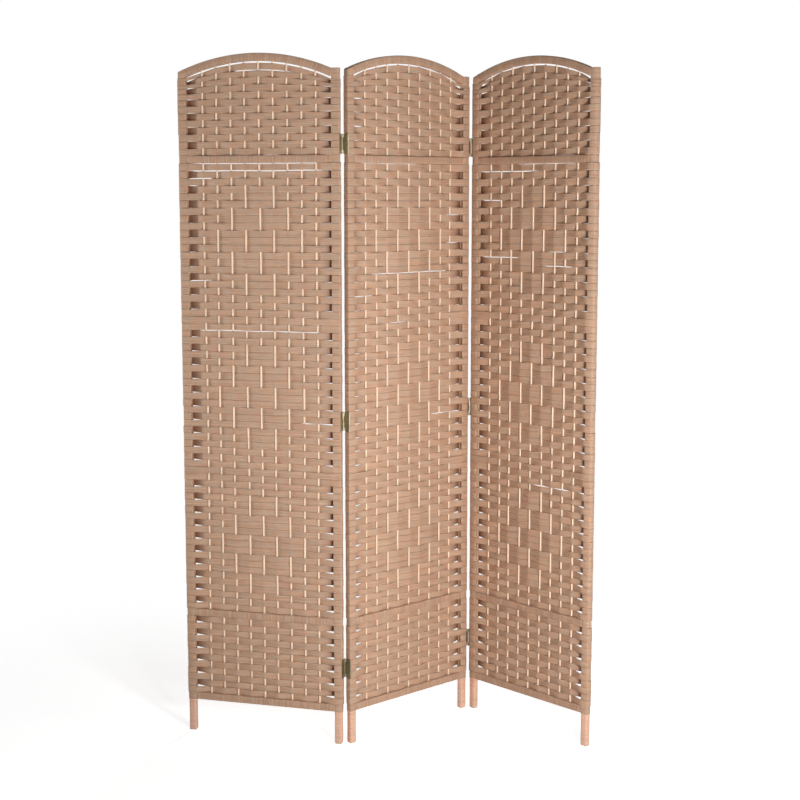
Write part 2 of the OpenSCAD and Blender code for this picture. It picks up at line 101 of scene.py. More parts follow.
# A band round a post: corner radius, share of the depth where its end lies, share of
# the post's width where it leaves the front, and least share of the bulge at a row's end
BAND_CORNER = 1.6 * MM
END_DEPTH = 0.6
POST_LIP = 0.97
LEAST_BULGE = 0.4

# Points of the hinge leaves further apart than this belong to different hinges
HINGE_APART = 100 * MM

# Stations of a band: at each end, and as shares of the way from one stake to the next
END_POINTS = 11
TURN_SHARE = 0.14
STEP_SHARES = (TURN_SHARE / 2, TURN_SHARE, 0.5, 1 - TURN_SHARE, 1 - TURN_SHARE / 2, 1)
BAND_STATIONS = 2 * END_POINTS - 1 + len(STEP_SHARES) * (STAKES + 1)
BAND_RING = 4 * CORDS + 2

# Slits open over this length, and are cut from the row above and the row below by these shares
SLIT_RAMP = 8 * MM
CUT_ABOVE = 0.4
CUT_BELOW = 0.6

# How fast a row's tuck grows as it passes behind the next, and how fast the painted shade in a pocket
# beside a post fades
TUCK_RATE = 3
POCKET_SHADE_FADE = 1.7

# Shifts of the cord's pattern: in metres for each row and each winding's draw, in turns for each span
ROW_SHIFT = 0.37
SEED_SHIFT = 0.31
SPAN_SHIFT = 30

# Numbers that keep the random draws of different pieces apart
EDGE_DRAW = 10
BULGE_DRAW = 5
ARCH_DRAW = 11
POST_DRAW = 20
SIDE_DRAW = 5
FOOT_DRAW = 41

# Wound cord: points round a corner and a turn, unevenness as a share of the groove's depth and of
# half a turn, and for rails and arch, posts and feet the corner radius and the groove's depth
CORNER_POINTS = 3
WOUND_RING = 4 * CORNER_POINTS
TURN_UNEVEN = 0.12
BAR_SECTION = (2.2 * MM, 0.8 * MM)
POST_SECTION = (3.4 * MM, 0.5 * MM)
FOOT_SECTION = (2.6 * MM, 0.35 * MM)

# The arch's turns start this far from the panel's side and stand out over the post by the flare
ARCH_INSET = 1.2 * MM
ARCH_FLARE = 0.9 * MM
FLARE_START = 6 * MM
FLARE_LENGTH = 8 * MM

# The left post ends this much lower under the arch than the right one
LEFT_POST_DROP = 4 * MM

STAKE_STATIONS = 61
STAKE_RING = 8
STAKE_CHAMFER = 1.3 * MM

# Casts of the cord's patches, its darkest and palest tones, and the tone of the painted shade in its
# grooves
GREY_CAST = (0.98, 1.03, 1.07)
RUDDY_CAST = (1.04, 0.95, 0.90)
DARK_TONE = (0.78, 0.78, 0.78)
PALE_TONE = (1.19, 1.19, 1.19)
GROOVE_SHADE_TONE = 0.35

# Roughness and shine of cord, and the depth of bumps on cord, and on wood and metal
CORD_ROUGHNESS = 0.55
CORD_SHINE = 0.4
CORD_BUMP = 0.6 * MM
FINE_BUMP = 0.2 * MM

# Twisted cord: pitch and slant of its twist, tone cells to a metre, the scales of its streaks and
# patches along it and across it, and where patches start and how fast they grow
TWIST_PITCH = 4.5 * MM
TWIST_SLANT = 0.8
CELLS = 4
STREAKS = (22, 1.7)
PATCHES = (38, 0.31)
PATCH_FROM, PATCH_RATE = 0.35, 3.3

# What cells and streaks add to its tone, the painted light and shade that ridges add to it, and what
# ridges and grooves add to its height
CELL_TONE, STREAK_TONE, RIDGE_SHADING = 0.55, 1.5, 0.08
RIDGE_HEIGHT, GROOVE_HEIGHT = 0.3, 0.7
GROOVE_POWER = 3

# Wood: contrast of its grain, its darkest and palest shares and the strength of its bumps
GRAIN_CONTRAST = 1.6
DARK_WOOD, PALE_WOOD = 0.82, 1.1
WOOD_BUMPS = 0.2

# Metal: where tarnish starts and how fast it grows, its darkest share, scratches and bumps
TARNISH_FROM, TARNISH_RATE = 0.4, 3
TARNISHED = 0.6
SCRATCH_SCALE = 900.0
METAL_BUMPS = 0.15

# Place and size of the area lamps, then the spot lamp that grazes the left panel
LAMPS = {
    "key": ((0.75, -2.0, 0.85), 0.3),
    "far": ((1.3, -4.4, 1.0), 0.5),
    "side": ((2.4, -0.8, 0.8), 0.4),
    "back": ((0.8, 3.2, 1.6), 0.8),
}
LAMP_TARGET = (0, 0, 0.9)
SPOT_PLACE = (-3.7, -0.12, 1.4)
SPOT_TARGET = (-0.3, 0, 1.1)
SPOT_SPREAD = math.radians(38)
SPOT_RADIUS = 0.08

# The camera's sensor width in mm, and how far it sees in metres
SENSOR_WIDTH = 36
VIEW_REACH = 50

# The floor's shadow fades from WHITE_FROM to WHITE_AT, and beyond it the camera sees plain white
FLOOR_RADIUS = 6
FLOOR_SIDES = 96
FLOOR_TONE = (0.93, 0.93, 0.93, 1)
FLOOR_ROUGHNESS = 0.9
WHITE = (1, 1, 1, 1)
FLOOR_DROP = 0.5 * MM
FLOOR_LIFT = 0.7
WHITE_FROM, WHITE_AT = 0.8, 1.8

# Slits between rows that the light shows through: part, edge, start, end and width in mm.
# An edge has the number of the row over it, or in the top weave of the row under it.
SLITS = {
    "left": [
        ("middle", 0, 40, 375, 2.9), ("middle", 1, 30, 385, 2.2), ("middle", 2, 22, 96, 2.0),
        ("middle", 3, 22, 56, 1.6), ("middle", 16, 22, 80, 1.8), ("middle", 23, 50, 380, 1.8),
        ("middle", 36, 330, 415, 1.5), ("top", 0, 225, 270, 1.4), ("top", 12, 150, 305, 1.8),
    ],
    "middle": [
        ("middle", 0, 45, 250, 1.8), ("middle", 7, 355, 415, 1.6), ("middle", 11, 360, 412, 1.6),
        ("middle", 15, 85, 360, 1.8), ("middle", 18, 22, 96, 1.8), ("middle", 22, 140, 215, 1.4),
        ("middle", 36, 305, 410, 1.4), ("top", 4, 22, 60, 2.0), ("top", 8, 22, 60, 2.2),
    ],
    "right": [
        ("middle", 0, 165, 366, 1.8), ("middle", 1, 28, 230, 1.8), ("middle", 5, 28, 106, 1.8),
        ("middle", 12, 275, 333, 1.5), ("middle", 13, 28, 175, 1.8), ("middle", 14, 262, 366, 1.8),
        ("middle", 46, 220, 360, 1.6), ("lower", 0, 140, 290, 2.0), ("top", 0, 283, 360, 1.2),
    ],
}


class ScreenSizes(bpy.types.PropertyGroup):
    """Sizes that the looks share with the frame"""

    panel_w: FloatProperty(name="Panel width",
                           description="Width of a panel over its wrapped posts",
                           default=437 * MM, unit="LENGTH")
    panel_h: FloatProperty(name="Panel height", description="Height of an arch's highest point",
                           default=1800 * MM, unit="LENGTH")
    panel_t: FloatProperty(name="Panel thickness",
                           description="Thickness over the cord on the posts",
                           default=18 * MM, unit="LENGTH")
    ring_w: FloatProperty(name="Wrapped post", description="Width of a post over its cord",
                          default=22.2 * MM, unit="LENGTH")
    arch_rise: FloatProperty(name="Arch rise",
                             description="Height of the arch above the posts' tops",
                             default=42 * MM, unit="LENGTH")
    arch_start: FloatProperty(name="Arch start",
                              description="Where the arch starts on the left post",
                              default=5 * MM, unit="LENGTH")
    arch_d: FloatProperty(name="Arch depth", description="Depth of the wound arch along its radius",
                          default=20.6 * MM, unit="LENGTH")
    rail_h: FloatProperty(name="Rail height", description="Height of a wound rail",
                          default=20.2 * MM, unit="LENGTH")
    foot_h: FloatProperty(name="Foot height", description="Height of the free feet",
                          default=86.5 * MM, unit="LENGTH")
    foot_tip: FloatProperty(name="Foot tip", description="Bare wood at the tip of a foot",
                            default=2.5 * MM, unit="LENGTH")
    lower_weave_h: FloatProperty(name="Lower weave", description="Height of the lower weave",
                                 default=212.5 * MM, unit="LENGTH")
    top_weave_h: FloatProperty(name="Top weave",
                               description="Height of the top weave at its middle",
                               default=236 * MM, unit="LENGTH")
    arch_gap: FloatProperty(name="Gap under the arch", description="Open gap over the top row",
                            default=4 * MM, unit="LENGTH")
    row_slack: FloatProperty(name="Row slack",
                             description="Share by which the upper rows are taller",
                             default=0.05)
    stake_pitch: FloatProperty(name="Stake pitch", description="Distance between stakes",
                               default=38.5 * MM, unit="LENGTH")
    stake_w: FloatProperty(name="Stake width", description="Width of a stake",
                           default=4.7 * MM, unit="LENGTH")
    stake_t: FloatProperty(name="Stake thickness", description="Thickness of a stake",
                           default=4 * MM, unit="LENGTH")
    stake_seat: FloatProperty(name="Stake seat",
                              description="Depth of a stake's ends in rail and arch",
                              default=8 * MM, unit="LENGTH")
    stake_wander: FloatProperty(name="Stake wander", description="Scale of the stakes' bow to the side",
                                default=2.2 * MM, unit="LENGTH")
    swing: FloatProperty(name="Band swing",
                         description="Distance of a band's middle from the stakes' plane",
                         default=3.48 * MM, unit="LENGTH")
    pin_gap: FloatProperty(name="Pin to edge",
                           description="Distance of a hinge line from a panel's edge",
                           default=2.15 * MM, unit="LENGTH")
    pin_out: FloatProperty(name="Pin to face", description="Distance of a pin from a panel's face",
                           default=2.3 * MM, unit="LENGTH")


class CordLooks(bpy.types.PropertyGroup):
    """Looks of the paper cord"""

    band_colour: FloatVectorProperty(name="Band colour", description="Colour of the woven bands",
                                     default=(0.560, 0.360, 0.242), size=3, subtype="COLOR")
    winding_colour: FloatVectorProperty(name="Winding colour",
                                        description="Colour of the wound cord",
                                        default=(0.595, 0.378, 0.256), size=3, subtype="COLOR")
    foot_colour: FloatVectorProperty(name="Foot colour",
                                     description="Colour of the cord on the feet",
                                     default=(0.880, 0.540, 0.385), size=3, subtype="COLOR")
    cord_t: FloatProperty(name="Band thickness", description="Thickness of a woven band",
                          default=1.8 * MM, unit="LENGTH")
    fine_t: FloatProperty(name="Fine cord", description="Thickness of the cord on rails and arch",
                          default=1.2 * MM, unit="LENGTH")
    foot_t: FloatProperty(name="Foot cord", description="Thickness of the cord on the feet",
                          default=0.8 * MM, unit="LENGTH")
    turn_pitch: FloatProperty(name="Turn pitch", description="Distance between wound turns",
                              default=3.9 * MM, unit="LENGTH")
    row_gap: FloatProperty(name="Row gap",
                           description="Gap between two rows",
                           default=0.1 * MM, unit="LENGTH")
    overlap: FloatProperty(name="Row overlap",
                           description="Reach over the next row, below 0 where it draws in",
                           default=-0.5 * MM, unit="LENGTH")
    tuck: FloatProperty(name="Row tuck", description="Reach of a row behind the next",
                        default=2.8 * MM, unit="LENGTH")
    unevenness: FloatProperty(name="Unevenness",
                              description="Most that a row's height varies at an edge",
                              default=0.1 * MM, unit="LENGTH")
    wander: FloatProperty(name="Wander",
                          description="Most that an edge between two rows wanders up or down",
                          default=0.9 * MM, unit="LENGTH")
    post_bulge: FloatProperty(name="Post bulge",
                              description="Most that a row stands out round a post's edge",
                              default=1.6 * MM, unit="LENGTH")
    # Painted shade: the cord in the pockets beside the posts is darkened by this colour
    pocket_shade_colour: FloatVectorProperty(name="Pocket colour",
                                       description="Tint of the cord in pockets at the posts",
                                       default=(0.40, 0.26, 0.22), size=3, subtype="COLOR")
    seed: IntProperty(name="Seed", description="Start of the random choices", default=7)


class HardLooks(bpy.types.PropertyGroup):
    """Looks of wood and metal"""

    wood: FloatVectorProperty(name="Frame wood", description="Colour of posts, rails and arches",
                              default=(0.66, 0.44, 0.27), size=3, subtype="COLOR")
    stake: FloatVectorProperty(name="Stake wood", description="Colour of the stakes",
                               default=(0.98, 0.77, 0.58), size=3, subtype="COLOR")
    brass: FloatVectorProperty(name="Brass", description="Colour of leaves and links",
                               default=(0.42, 0.36, 0.245), size=3, subtype="COLOR")
    steel: FloatVectorProperty(name="Steel", description="Colour of pins and screws",
                               default=(0.50, 0.48, 0.42), size=3, subtype="COLOR")


class StageLooks(bpy.types.PropertyGroup):
    """Camera, lamps and floor"""

    eye: FloatVectorProperty(name="Eye",
                             description="Camera from the middle panel's front left corner",
                             default=(0.1304, -3.9139, 1.4331), size=3, subtype="TRANSLATION")
    pitch: FloatProperty(name="Pitch", description="Angle that the camera looks down",
                         default=math.radians(7.483), subtype="ANGLE")
    lens: FloatProperty(name="Lens", description="Focal length on a 36 mm sensor", default=69.03)
    key: FloatProperty(name="Key lamp",
                       description="Power of the near lamp right of the camera",
                       default=25)
    far: FloatProperty(name="Far lamp",
                       description="Power of the lamp behind the camera",
                       default=57)
    side: FloatProperty(name="Side lamp", description="Power of the lamp at the right", default=6)
    graze: FloatProperty(name="Grazing lamp",
                         description="Power of the spot lamp at the left",
                         default=240)
    back: FloatProperty(name="Back lamp",
                        description="Power of the lamp behind the screen",
                        default=40)
    sky: FloatProperty(name="Sky", description="Strength of the even light", default=0.03)


def sizes():
    return bpy.context.scene.screen_sizes


def cords():
    return bpy.context.scene.screen_cords


def hard():
    return bpy.context.scene.screen_hard


# Where each panel stands

def panel_matrices():
    """Each panel's place in the row frame, from the hinge pins of the packed joints."""
    s = sizes()
    pins = {joint["name"]: joint for joint in frame["joints"]}
    front = Vector(pins["left_front_pins"]["pos_m"])
    across = Vector(pins["left_back_pins"]["pos_m"]) - front
    middle_turn = math.atan2(-across.x, across.y)
    known = {
        "left": ("left_back_pins", s.panel_w + s.pin_gap, s.panel_t + s.pin_out),
        "middle": ("left_front_pins", -s.pin_gap, -s.pin_out),
        "right": ("right_front_pins", -s.pin_gap, -s.pin_out),
    }
    places = {}
    for panel, (pin, x, y) in known.items():
        fold = 0 if panel == "middle" else pins[pin]["range_deg"][0]
        turn = Matrix.Rotation(middle_turn + math.radians(fold), 4, "Z")
        spot = Vector(pins[pin]["pos_m"])
        spot.z = 0
        places[panel] = Matrix.Translation(spot - turn @ Vector((x, y, 0))) @ turn
    return places


# Heights of rails and rows

def rail_heights():
    s = sizes()
    lower = s.foot_h + s.rail_h + s.lower_weave_h
    upper = s.panel_h - s.arch_d - s.top_weave_h - s.rail_h
    return [s.foot_h, lower, upper]


def middle_edge(row):
    s = sizes()
    _, lower, upper = rail_heights()
    share = row / MIDDLE_ROWS
    return upper - (upper - lower - s.rail_h) * (share + s.row_slack * share * (1 - share))


def arch_circle():
    """Radius and centre of the arch's outside."""
    s = sizes()
    half = (s.panel_w - s.ring_w - s.arch_start) / 2
    radius = (half * half + s.arch_rise ** 2) / (2 * s.arch_rise)
    return radius, s.arch_start + half, s.panel_h - radius


def arch_drop(x):
    s = sizes()
    radius, middle, _ = arch_circle()
    inside = radius - s.arch_d
    off = np.clip(x, s.ring_w, s.panel_w - s.ring_w) - middle
    return inside - np.sqrt(inside ** 2 - off ** 2)


def top_edge(row, x):
    s = sizes()
    base = rail_heights()[2] + s.rail_h
    pitch = (s.top_weave_h - s.arch_gap) / TOP_ROWS
    bend = (max(0, row - LEVEL_ROWS) / (TOP_ROWS - LEVEL_ROWS)) ** 2
    return base + row * pitch - bend * arch_drop(x)


# The pattern of the weave

def plain_shows(stake, row):
    return (stake + row) % 2 == 0


def middle_shows(stake, row):
    """Does this stake lie in front of the band?"""
    off = abs(stake - MIDDLE_STAKE)
    for start in DIAMOND_STARTS:
        step = (row - start) // STEP_ROWS
        if 0 <= step < len(DIAMOND_STEPS) and off < DIAMOND_STEPS[step]:
            return (off + DIAMOND_STEPS[step]) % 2 == 1
    return plain_shows(stake, row)


# Stakes bow a little between the rails, and the bands follow them

def ripple(heights, share, shift=0):
    """Sum of sine waves at a share of the way, each with its own height and shifted by it."""
    return sum(h * np.sin(math.pi * (n + 1) * share + h * shift) for n, h in enumerate(heights))


def stake_bow(panel, stake, z):
    """Sideways bow of a stake at the heights z, nothing at the rails and in the arch."""
    s = sizes()
    rng = np.random.default_rng([cords().seed, PANELS.index(panel), stake])
    bottom, lower, upper = rail_heights()
    under_arch = s.panel_h - s.arch_d
    spans = [(bottom + s.rail_h, lower), (lower + s.rail_h, upper), (upper + s.rail_h, under_arch)]
    z = np.asarray(z, float)
    bow = np.zeros_like(z)
    for (low, high), heights in zip(spans, rng.uniform(-1, 1, (len(spans), BOW_WAVES))):
        share = np.clip((z - low) / (high - low), 0, 1)
        reach = min(1, (high - low) / FULL_BOW_SPAN)
        bow += s.stake_wander * reach * ripple(heights, share) / BOW_HEIGHT
    return bow


def stake_x(panel, stake, z):
    s = sizes()
    return s.panel_w / 2 + (stake - MIDDLE_STAKE) * s.stake_pitch + stake_bow(panel, stake, z)


# Tubes: a straight bar of rings is laid along a path

def straight_tube(stations, ring):
    """A closed bar along Z with a ring of points at each whole height, as a mesh."""
    bm = bmesh.new()
    bmesh.ops.create_cone(bm, cap_ends=True, segments=ring, radius1=1, radius2=1, depth=stations - 1)
    bmesh.ops.translate(bm, verts=bm.verts, vec=(0, 0, (stations - 1) / 2))
    long_edges = [e for e in bm.edges if abs(e.verts[0].co.z - e.verts[1].co.z) > 0.5]
    bmesh.ops.subdivide_edges(bm, edges=long_edges, cuts=stations - 2)
    bmesh.ops.recalc_face_normals(bm, faces=bm.faces)
    mesh = bpy.data.meshes.new("tube")
    bm.to_mesh(mesh)
    bm.free()
    co = np.empty(len(mesh.vertices) * 3)
    mesh.vertices.foreach_get("co", co)
    co = co.reshape(-1, 3)
    station = np.rint(co[:, 2]).astype(int)
    turn = np.rint(np.arctan2(co[:, 0], co[:, 1]) / (2 * math.pi) * ring).astype(int) % ring
    return mesh, station, turn


def lay(bm, mesh, points, **layers):
    """Adds a copy of the tube to bm with its points and its layers of coordinates in place."""
    mesh.vertices.foreach_set("co", np.ascontiguousarray(points, dtype=np.float32).ravel())
    corner = np.empty(len(mesh.loops), dtype=np.int32)
    mesh.loops.foreach_get("vertex_index", corner)
    for name, uv in layers.items():
        layer = mesh.uv_layers.get(name) or mesh.uv_layers.new(name=name)
        layer.data.foreach_set("uv", np.ascontiguousarray(uv[corner], dtype=np.float32).ravel())
    bm.from_mesh(mesh)


def new_piece(name, bm, place, material, smooth=True):
    bm.transform(place)
    for face in bm.faces:
        face.smooth = smooth
    mesh = bpy.data.meshes.new(name)
    bm.to_mesh(mesh)
    bm.free()
    mesh.materials.append(material)
    piece = bpy.data.objects.new(name, mesh)
    bpy.context.scene.collection.objects.link(piece)
    return piece


def closed_piece(name, bm, place, material, smooth=True):
    """A piece of closed tubes, with its faces turned outwards."""
    bmesh.ops.recalc_face_normals(bm, faces=bm.faces)
    return new_piece(name, bm, place, material, smooth)


# Woven bands

def band_section():
    """Across and outward places of a band's ring of points, with a ridge for each cord."""
    ridges = 2 * CORDS
    across = [2 * k / ridges - 1 for k in range(ridges + 1)]
    outward = [EDGE_SHARE] + [1.0 if k % 2 else GROOVE_SHARE for k in range(1, ridges)] + [EDGE_SHARE]
    return (
        np.array(across + across[::-1]),
        np.array(outward + [-v for v in reversed(outward)]),
    )


def smooth(share):
    return share * share * (3 - 2 * share)


def rise(share):
    """Share of the way across at a share of the way along: straight, with a bend at either stake."""
    if share > 0.5:
        return 1 - rise(1 - share)
    steep = 1 / (1 - TURN_SHARE)
    if share < TURN_SHARE:
        return steep * share ** 2 / (2 * TURN_SHARE)
    return steep * (share - TURN_SHARE / 2)


def band_path(panel, shows, z, bulges):
    """Plan of a band in front of both posts: its points, outward normals and the length so far."""
    s, t = sizes(), cords().cord_t
    r = BAND_CORNER
    w, depth, edge = s.panel_w, s.panel_t, t / 2
    turn45 = r * (1 - math.sqrt(0.5))
    inner = s.ring_w - edge
    left = [
        (inner, depth * END_DEPTH), (inner, depth - edge - r),
        (inner - turn45, depth - edge - turn45),
        (inner - r, depth - edge), (edge + r, depth - edge), (edge + turn45, depth - edge - turn45),
        (edge, depth - edge - r), (edge, edge + r), (edge + turn45, edge + turn45), (edge + r, edge),
        (s.ring_w * POST_LIP, edge),
    ]
    knots = [left[-1]]
    for stake in range(1, STAKES + 1):
        side = s.swing if shows[stake - 1] else -s.swing
        knots.append((float(stake_x(panel, stake, z)), depth / 2 + side))
    right = [(w - x, y) for x, y in reversed(left)]
    knots.append(right[0])
    points = [(x - bulges[0] * (1 - x / s.ring_w), y) for x, y in left]
    for (x0, y0), (x1, y1) in zip(knots, knots[1:]):
        points += [(x0 + (x1 - x0) * share, y0 + (y1 - y0) * rise(share)) for share in STEP_SHARES]
    points += [(x + bulges[1] * (1 - (w - x) / s.ring_w), y) for x, y in right[1:]]
    path = np.array(points)
    ahead = np.gradient(path, axis=0)
    ahead /= np.linalg.norm(ahead, axis=1)[:, None]
    normal = np.stack([ahead[:, 1], -ahead[:, 0]], axis=1)
    length = np.concatenate([[0], np.cumsum(np.linalg.norm(np.diff(path, axis=0), axis=1))])
    return path, normal, length


def neighbours(part, row):
    """The rows over and under a row, then its edges over and under. Only the top weave counts upwards."""
    if part == "top":
        return row + 1, row - 1, row, row - 1
    return row - 1, row + 1, row - 1, row


def edge_wander(panel, part, edge, x):
    """How far the edge between two rows lies above its even place. A weave's end edges are straight."""
    if edge in (0, PARTS[part]):
        return 0 * x
    c = cords()
    draw = EDGE_DRAW + list(PARTS).index(part)
    rng = np.random.default_rng([c.seed, PANELS.index(panel), draw, edge])
    wave = ripple(rng.uniform(-1, 1, WANDER["waves"]), x / sizes().panel_w, WANDER["shift"])
    return c.wander * np.clip(wave / WANDER["height"], -1, 1)


def row_shape(panel, part, row, x):
    """Lower and upper edge of a row at the places x along it."""
    s, c = sizes(), cords()
    if part == "middle":
        low, high = middle_edge(row) + 0 * x, middle_edge(row - 1) + 0 * x
    elif part == "lower":
        pitch = s.lower_weave_h / LOWER_ROWS
        low = rail_heights()[1] - row * pitch + 0 * x
        high = low + pitch
    else:
        low, high = top_edge(row - 1, x), top_edge(row, x)
    _, _, over, under = neighbours(part, row)
    rng = np.random.default_rng([c.seed, PANELS.index(panel), list(PARTS).index(part), row])
    uneven = [
        c.unevenness * np.clip(ripple(heights, x / s.panel_w, UNEVEN["shift"]) / UNEVEN["height"], -1, 1)
        for heights in rng.uniform(-1, 1, (2, UNEVEN["waves"]))
    ]
    low = low + edge_wander(panel, part, under, x) + c.row_gap / 2 + uneven[0]
    high = high + edge_wander(panel, part, over, x) - c.row_gap / 2 + uneven[1]
    return low, high


def slit(panel, part, edge, x):
    """Width of the slit at an edge between two rows, at the places x along it."""
    wide = 0 * x
    for slit_part, slit_edge, start, end, gap in SLITS[panel]:
        if (slit_part, slit_edge) == (part, edge):
            ramp = np.minimum(x - start * MM, end * MM - x) / SLIT_RAMP
            wide = np.maximum(wide, smooth(np.clip(ramp, 0, 1)) * gap * MM)
    return wide


def row_sides(part, row):
    """Does the row pass the posts in front, and which stakes show in front of it?"""
    stakes = range(1, STAKES + 1)
    if part == "middle":
        return row % 2 == 1 or row in LATH_ROWS, [middle_shows(stake, row) for stake in stakes]
    if part == "lower":
        return row % 2 == 0, [plain_shows(stake, row + 1) for stake in stakes]
    return row % 2 == 1, [plain_shows(stake, row) for stake in stakes]


def row_lean(part, row):
    """How far a row lies behind the stakes' plane at each station, from -1 in front to 1 behind."""
    from_front, shows = row_sides(part, row)
    post = -1 if from_front else 1
    knots = [post] + [1 if show else -1 for show in shows] + [post]
    lean = [0] * END_POINTS
    for a, b in zip(knots, knots[1:]):
        lean += [a + (b - a) * rise(share) for share in STEP_SHARES]
    return np.array(lean + [0] * (END_POINTS - 1))


def row_reach(part, row, other):
    """Reach over the other row at each station: tucked behind it, drawn in before it, none at posts."""
    behind = (row_lean(part, row) - row_lean(part, other)) / 2
    inside = [rise(share) for share in STEP_SHARES]
    stakes = [0] * END_POINTS + inside + [1] * (len(STEP_SHARES) * (STAKES - 1))
    stakes += [1 - share for share in inside] + [0] * (END_POINTS - 1)
    tucked = cords().tuck * np.clip(behind * TUCK_RATE, 0, 1) * np.array(stakes)
    return tucked + cords().overlap * np.clip(-behind, 0, 1)


def pocket_shade_stations():
    """Strength of the painted shade at each station in the pocket beside a post: 1 at the post, nothing
    near the next stake.
    """
    left = [max(0, 1 - share * POCKET_SHADE_FADE) for share in STEP_SHARES]
    right = [max(0, 1 - (1 - share) * POCKET_SHADE_FADE) for share in STEP_SHARES]
    between = [0] * (len(STEP_SHARES) * (STAKES - 1))
    return np.array([1] * END_POINTS + left + between + right + [1] * (END_POINTS - 1))


def hinge_spans():
    """Heights that the hinges take up on each line."""
    spans = []
    for z in sorted(v.co.z for v in frame["nodes"]["left_line_middle_leaves"].data.vertices):
        if spans and z - spans[-1][1] < HINGE_APART:
            spans[-1][1] = z
        else:
            spans.append([z, z])
    return spans


def weave(panel, part, rows, place, material):
    s, c = sizes(), cords()
    mesh, station, turn = straight_tube(BAND_STATIONS, BAND_RING)
    across, outward = band_section()
    edge_rng = np.random.default_rng([c.seed, PANELS.index(panel), BULGE_DRAW + len(rows)])
    hinges = hinge_spans()
    pocket = pocket_shade_stations()
    bm = bmesh.new()
    for row in rows:
        from_front, shows = row_sides(part, row)
        mid_low, mid_high = row_shape(panel, part, row, np.array([s.panel_w / 2]))
        front_side = shows if from_front else [not show for show in shows]
        bulges = edge_rng.uniform(LEAST_BULGE, 1, 2) * c.post_bulge
        if any(low < mid_high[0] and high > mid_low[0] for low, high in hinges):
            bulges = (0, 0)
        mid_z = float(mid_low[0] + mid_high[0]) / 2
        path, normal, length_so_far = band_path(panel, front_side, mid_z, bulges)
        low, high = row_shape(panel, part, row, path[:, 0])
        upper, lower, edge_over, edge_under = neighbours(part, row)
        over = slit(panel, part, edge_over, path[:, 0])
        under = slit(panel, part, edge_under, path[:, 0])
        if upper in rows:
            high = high + row_reach(part, row, upper) * (over == 0)
        if lower in rows:
            low = low - row_reach(part, row, lower) * (under == 0)
        low, high = low + under * CUT_ABOVE, high - over * CUT_BELOW
        centre, half = (low + high) / 2, (high - low) / 2
        flat = path[station] + normal[station] * (outward[turn] * c.cord_t / 2)[:, None]
        if not from_front:
            flat[:, 1] = s.panel_t - flat[:, 1]
        points = np.column_stack([flat, centre[station] + across[turn] * half[station]])
        cord_place = (across[turn] + 1) / 2 * CORDS + CORDS * row
        uv = np.column_stack([length_so_far[station] + row * ROW_SHIFT, cord_place])
        # Painted shade on the inner side of a row's loop, strongest in the pockets beside the posts
        inner = (outward[turn] < 0) * pocket[station]
        lay(bm, mesh, points, cord=uv, pocket=np.column_stack([inner, inner]))
    bpy.data.meshes.remove(mesh)
    return closed_piece(f"{panel}_panel_{part}_bands", bm, place, material)


# Windings

def rounded_box(turn, half_a, half_b, radius):
    """Points of a box with rounded corners."""
    corner, step = turn // CORNER_POINTS, turn % CORNER_POINTS
    sign_a = np.where((corner == 0) | (corner == 3), 1, -1)
    sign_b = np.where(corner < 2, 1, -1)
    angle = corner * math.pi / 2 + step * math.pi / 2 / (CORNER_POINTS - 1)
    a = sign_a * (half_a - radius) + radius * np.cos(angle)
    b = sign_b * (half_b - radius) + radius * np.sin(angle)
    return a, b


def wound_tube(bm, turns, halves, section, put, first, seed):
    """Lays turns of cord round a box section, and put(along, a, b) gives each point's place."""
    (half_a, half_b), (corner, groove) = halves, section
    stations = 2 * turns + 1
    mesh, station, turn = straight_tube(stations, WOUND_RING)
    rng = np.random.default_rng([cords().seed, seed])
    lift = np.where(np.arange(stations) % 2 == 1, 0, groove)
    lift = lift + rng.uniform(0, TURN_UNEVEN, stations) * groove
    along = (np.arange(stations) + rng.uniform(-TURN_UNEVEN, TURN_UNEVEN, stations)) / (2 * turns)
    along[0], along[-1] = 0, 1
    lift[0], lift[-1] = groove, groove
    inset = lift[station]
    a, b = rounded_box(turn, half_a - inset, half_b - inset, corner)
    around = np.abs(((turn / WOUND_RING + 0.5) % 1) - 0.5) * 2 * (half_a + half_b) * 2
    uv = np.column_stack([around + SEED_SHIFT * seed, station / 2 + first])
    lay(bm, mesh, put(along[station], a, b), cord=uv)
    bpy.data.meshes.remove(mesh)


def bar_half_t():
    """Half the thickness of rails and arch over their fine cord."""
    s, c = sizes(), cords()
    return s.panel_t / 2 - c.cord_t + c.fine_t


def up_a_post(side, low, high):
    """Gives the places of turns round the left or the right post between two heights."""
    s = sizes()
    centre = s.ring_w / 2 if side == 0 else s.panel_w - s.ring_w / 2

    def put(along, a, b):
        return np.column_stack([centre + a, s.panel_t / 2 + b, low + (high - low) * along])
    return put


def rail_windings(panel, place, material):
    s = sizes()
    bm = bmesh.new()
    x0, x1 = s.ring_w, s.panel_w - s.ring_w
    turns = round((x1 - x0) / cords().turn_pitch)
    for n, low in enumerate(rail_heights()):
        def put(along, a, b, low=low):
            return np.column_stack([x0 + (x1 - x0) * along, s.panel_t / 2 + a, low + s.rail_h / 2 + b])
        wound_tube(bm, turns, (bar_half_t(), s.rail_h / 2), BAR_SECTION, put, first=n * turns, seed=n + 1)
    return closed_piece(f"{panel}_panel_rail_turns", bm, place, material)


